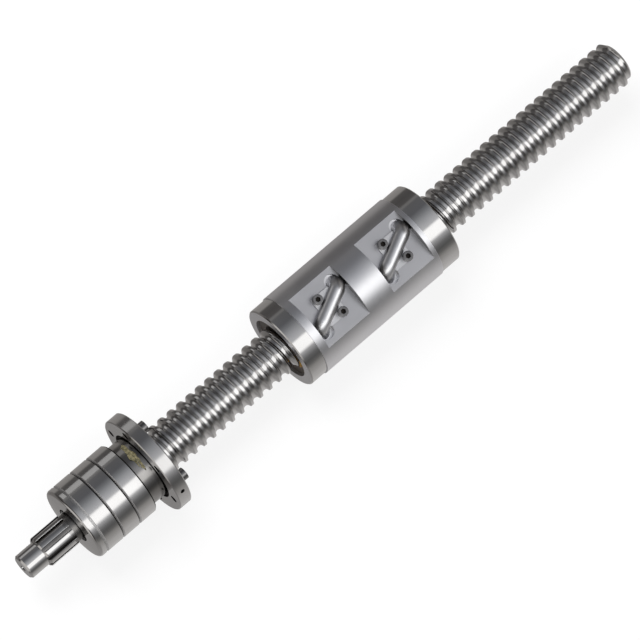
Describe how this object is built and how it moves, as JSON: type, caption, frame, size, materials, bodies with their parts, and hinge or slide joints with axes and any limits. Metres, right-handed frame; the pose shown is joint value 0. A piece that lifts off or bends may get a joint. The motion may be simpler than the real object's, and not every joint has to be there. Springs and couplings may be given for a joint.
{
  "type": "ball screw",
  "caption": "Ball screw with a splined drive end, a stack of support bearings behind a clamping flange, and a cylindrical nut with external ball-return tubes.",
  "frame": {"origin": "On the screw's axis, in the flange face that meets the bearing housing.", "axes": "+X runs along the screw from the splined drive end to the free end. +Z points out of the nut's return-tube flats."},
  "size_m": [0.6432, 0.09, 0.09],
  "materials": {
    "ground_screw_steel": "ground",
    "ground_bearing_steel": "ground",
    "turned_steel": "fine turned",
    "satin_nut_steel": "satin",
    "tube_steel": "satin",
    "ball_steel": "polished",
    "blackened_steel": "black oxide",
    "cage_brass": "satin",
    "seal_rubber": "matte",
    "wiper_plastic": "matte"
  },
  "bodies": {
    "support": {"bearing_outer_ring_1": "ground_bearing_steel", "bearing_outer_ring_2": "ground_bearing_steel", "bearing_outer_ring_3": "ground_bearing_steel", "bearing_end_ring": "ground_bearing_steel", "retaining_flange": "turned_steel", "flange_screws": "blackened_steel", "shaft_seal": "seal_rubber"},
    "screw": {"screw_shaft": "ground_screw_steel", "bearing_inner_ring_1": "ground_bearing_steel", "bearing_inner_ring_2": "ground_bearing_steel", "bearing_inner_ring_3": "ground_bearing_steel", "lock_nut": "blackened_steel", "lock_washer": "blackened_steel", "spacer_sleeve": "blackened_steel"},
    "nut": {"nut_body": "satin_nut_steel", "return_tube_1": "tube_steel", "return_tube_2": "tube_steel", "tube_lugs_1": "tube_steel", "tube_lugs_2": "tube_steel", "lug_screws": "blackened_steel", "nut_balls_1": "ball_steel", "nut_balls_2": "ball_steel", "nut_wiper_drive_side": "wiper_plastic", "nut_wiper_free_side": "wiper_plastic"},
    "cage_set_1": {"bearing_cage_1": "cage_brass", "bearing_balls_1": "ball_steel"},
    "cage_set_2": {"bearing_cage_2": "cage_brass", "bearing_balls_2": "ball_steel"},
    "cage_set_3": {"bearing_cage_3": "cage_brass", "bearing_balls_3": "ball_steel"}
  },
  "joints": [
    {"name": "screw_turn", "type": "hinge", "parent": "support", "child": "screw", "pos_m": [0, 0, 0], "axis": [1, 0, 0], "range_deg": [-7200, 4320]},
    {"name": "nut_travel", "type": "slide", "parent": "support", "child": "nut", "axis": [1, 0, 0], "range_m": [-0.12, 0.2]},
    {"name": "cage_1_turn", "type": "hinge", "parent": "support", "child": "cage_set_1", "pos_m": [0, 0, 0], "axis": [1, 0, 0], "range_deg": [-3000, 1800]},
    {"name": "cage_2_turn", "type": "hinge", "parent": "support", "child": "cage_set_2", "pos_m": [0, 0, 0], "axis": [1, 0, 0], "range_deg": [-3000, 1800]},
    {"name": "cage_3_turn", "type": "hinge", "parent": "support", "child": "cage_set_3", "pos_m": [0, 0, 0], "axis": [1, 0, 0], "range_deg": [-3000, 1800]}
  ],
  "couplings": [
    {"joint": "nut_travel", "follows": "screw_turn", "m_per_rad": -0.0015915},
    {"joint": "cage_1_turn", "follows": "screw_turn", "ratio": 0.40703},
    {"joint": "cage_2_turn", "follows": "screw_turn", "ratio": 0.40703},
    {"joint": "cage_3_turn", "follows": "screw_turn", "ratio": 0.40703}
  ]
}
